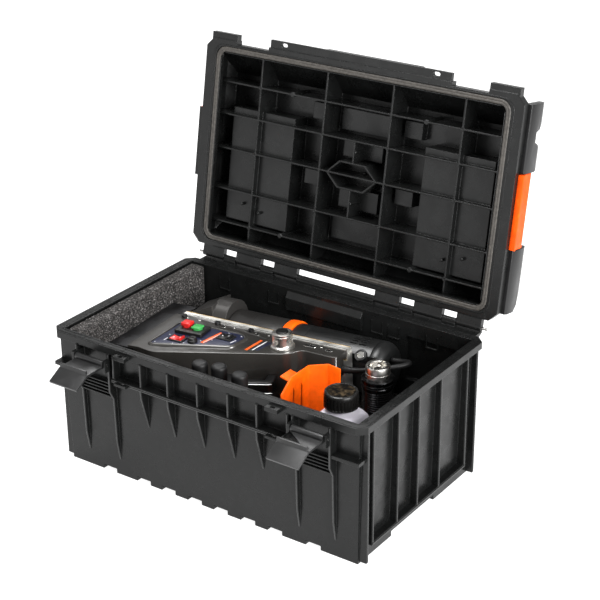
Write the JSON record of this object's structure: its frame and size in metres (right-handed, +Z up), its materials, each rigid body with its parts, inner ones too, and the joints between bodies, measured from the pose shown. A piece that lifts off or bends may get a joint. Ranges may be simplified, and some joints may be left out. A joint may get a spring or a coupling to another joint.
{
  "type": "magnetic drill press",
  "caption": "Magnetic drill press lying in foam in its latched transport case, with its feed handles, chuck, chip guard and oil bottle stored beside it.",
  "frame": {"origin": "centre of the case's underside", "axes": "+X along the case to its right end, +Y to the hinge side, +Z up"},
  "size_m": [0.59, 0.5366, 0.5913],
  "materials": {
    "case_plastic": "moulded, fine texture",
    "lid_plastic": "moulded, fine texture",
    "trim_plastic": "moulded",
    "orange_plastic": "satin",
    "foam": "open-cell foam",
    "seal": "soft",
    "steel": "ground",
    "casting": "satin paint",
    "magnet_steel": "blackened",
    "navy_label": "satin label",
    "red_plastic": "gloss",
    "green_plastic": "gloss",
    "brass": "milled",
    "winding": "enamelled wire",
    "rubber": "soft",
    "white_plastic": "blow moulded"
  },
  "bodies": {
    "case": {"case_tub": "case_plastic", "hinge_pin": "steel", "foam_end_pad": "foam", "foam_bed": "foam", "latch_pin_left": "steel", "latch_pin_right": "steel"},
    "lid": {"lid_shell": "lid_plastic", "lid_gasket": "seal", "lid_side_frame_left": "trim_plastic", "lid_side_frame_right": "trim_plastic"},
    "carry_handle_body": {"carry_handle": "trim_plastic"},
    "side_handle_left_body": {"side_handle_left": "orange_plastic"},
    "side_handle_right_body": {"side_handle_right": "orange_plastic"},
    "latch_left_body": {"latch_left": "trim_plastic"},
    "latch_right_body": {"latch_right": "trim_plastic"},
    "stand": {"magnet_base": "magnet_steel", "magnet_coil": "winding", "stand_housing": "casting", "stand_cover": "casting", "control_panel": "navy_label", "switch_box": "trim_plastic", "fuse_cap": "trim_plastic", "gib_strip": "brass", "gib_screw_1": "trim_plastic", "gib_screw_2": "trim_plastic", "gib_screw_3": "trim_plastic", "rear_handle": "trim_plastic", "control_board": "green_plastic", "motor_lead": "rubber"},
    "stop_button_body": {"stop_button": "red_plastic"},
    "start_button_body": {"start_button": "green_plastic"},
    "magnet_rocker_body": {"magnet_rocker": "red_plastic"},
    "mode_rocker_body": {"mode_rocker": "trim_plastic"},
    "hub": {"feed_pinion_shaft": "steel", "feed_hub": "steel", "hub_cap": "trim_plastic"},
    "carriage": {"slide_bar": "steel", "feed_rack": "steel", "gearbox_housing": "casting", "orange_band": "orange_plastic", "motor_housing": "trim_plastic", "motor_end_cap": "trim_plastic", "brush_cap": "trim_plastic", "stator": "winding", "arbor_bracket": "casting"},
    "spindle": {"arbor": "steel", "spindle_gear": "steel"},
    "countershaft_body": {"countershaft": "steel"},
    "armature_body": {"armature": "winding"},
    "bottle": {"oil_bottle": "white_plastic"},
    "cap": {"bottle_cap": "trim_plastic"},
    "guard": {"chip_guard": "orange_plastic"},
    "chuck": {"chuck_body": "steel"},
    "sleeve": {"chuck_sleeve": "steel"},
    "handle_1": {"feed_handle_rod_1": "steel", "feed_handle_grip_1": "rubber"},
    "handle_2": {"feed_handle_rod_2": "steel", "feed_handle_grip_2": "rubber"},
    "handle_3": {"feed_handle_rod_3": "steel", "feed_handle_grip_3": "rubber"}
  },
  "joints": [
    {"name": "lid_hinge", "type": "hinge", "parent": "case", "child": "lid", "pos_m": [0, 0.1864, 0.2289], "axis": [-1, 0, 0], "range_deg": [-99.9, 0]},
    {"name": "carry_handle_swing", "type": "hinge", "parent": "lid", "child": "carry_handle_body", "pos_m": [0, 0.26763, 0.57448], "axis": [1, 0, 0], "range_deg": [0, 100]},
    {"name": "side_handle_left_swing", "type": "hinge", "parent": "lid", "child": "side_handle_left_body", "pos_m": [-0.289, 0.25007, 0.40701], "axis": [0, -0.1719, -0.9851], "range_deg": [0, 45]},
    {"name": "side_handle_right_swing", "type": "hinge", "parent": "lid", "child": "side_handle_right_body", "pos_m": [0.289, 0.25007, 0.40701], "axis": [0, 0.1719, 0.9851], "range_deg": [0, 45]},
    {"name": "latch_left_swing", "type": "hinge", "parent": "case", "child": "latch_left_body", "pos_m": [-0.196, -0.1755, 0.198], "axis": [1, 0, 0], "range_deg": [-91, 0]},
    {"name": "latch_right_swing", "type": "hinge", "parent": "case", "child": "latch_right_body", "pos_m": [0.196, -0.1755, 0.198], "axis": [1, 0, 0], "range_deg": [-91, 0]},
    {"name": "drill_lift", "type": "slide", "parent": "case", "child": "stand", "axis": [0, 0, 1], "range_m": [0, 0.3]},
    {"name": "feed_slide", "type": "slide", "parent": "stand", "child": "carriage", "axis": [0.9971, 0.0662, 0.0384], "range_m": [0, 0.095], "deforming": ["motor_lead"]},
    {"name": "hub_turn", "type": "hinge", "parent": "stand", "child": "hub", "pos_m": [0.01543, 0.01911, 0.21289], "axis": [-0.0383, -0.0025, 0.9993], "range_deg": [-303, 0]},
    {"name": "spindle_turn", "type": "hinge", "parent": "carriage", "child": "spindle", "pos_m": [-0.18064, 0.08827, 0.1455], "axis": [0.9971, 0.0662, 0.0384], "continuous": true},
    {"name": "countershaft_turn", "type": "hinge", "parent": "carriage", "child": "countershaft_body", "pos_m": [-0.12001, 0.0923, 0.12682], "axis": [0.9971, 0.0662, 0.0384], "continuous": true},
    {"name": "armature_turn", "type": "hinge", "parent": "carriage", "child": "armature_body", "pos_m": [-0.07096, 0.09555, 0.14973], "axis": [0.9971, 0.0662, 0.0384], "continuous": true},
    {"name": "stop_button_press", "type": "slide", "parent": "stand", "child": "stop_button_body", "axis": [0.0383, 0.0025, -0.9993], "range_m": [0, 0.0021], "stiffness_N_per_m": 250},
    {"name": "start_button_press", "type": "slide", "parent": "stand", "child": "start_button_body", "axis": [0.0383, 0.0025, -0.9993], "range_m": [0, 0.0021], "stiffness_N_per_m": 250},
    {"name": "magnet_rocker_tilt", "type": "hinge", "parent": "stand", "child": "magnet_rocker_body", "pos_m": [-0.13752, -0.04266, 0.19436], "axis": [-0.0663, 0.9978, 0], "range_deg": [0, 14]},
    {"name": "mode_rocker_tilt", "type": "hinge", "parent": "stand", "child": "mode_rocker_body", "pos_m": [-0.07536, -0.00145, 0.19684], "axis": [-0.0663, 0.9978, 0], "range_deg": [0, 14]},
    {"name": "bottle_lift", "type": "slide", "parent": "case", "child": "bottle", "axis": [0, 0, 1], "range_m": [0, 0.24]},
    {"name": "bottle_cap_turn", "type": "hinge", "parent": "bottle", "child": "cap", "pos_m": [0.195, -0.092, 0.21], "axis": [0, 0, 1], "continuous": true},
    {"name": "guard_lift", "type": "slide", "parent": "case", "child": "guard", "axis": [0, 0, 1], "range_m": [0, 0.2]},
    {"name": "chuck_lift", "type": "slide", "parent": "case", "child": "chuck", "axis": [0, 0, 1], "range_m": [0, 0.2]},
    {"name": "chuck_sleeve_turn", "type": "hinge", "parent": "chuck", "child": "sleeve", "pos_m": [0.18, 0.027, 0.16], "axis": [0, 0, 1], "continuous": true},
    {"name": "handle_1_lift", "type": "slide", "parent": "case", "child": "handle_1", "axis": [0, 0, 1], "range_m": [0, 0.24]},
    {"name": "handle_2_lift", "type": "slide", "parent": "case", "child": "handle_2", "axis": [0, 0, 1], "range_m": [0, 0.24]},
    {"name": "handle_3_lift", "type": "slide", "parent": "case", "child": "handle_3", "axis": [0, 0, 1], "range_m": [0, 0.24]}
  ],
  "couplings": [
    {"joint": "hub_turn", "follows": "feed_slide", "rad_per_m": -55.556},
    {"joint": "countershaft_turn", "follows": "spindle_turn", "ratio": -2.8182},
    {"joint": "armature_turn", "follows": "spindle_turn", "ratio": 9.0182}
  ]
}
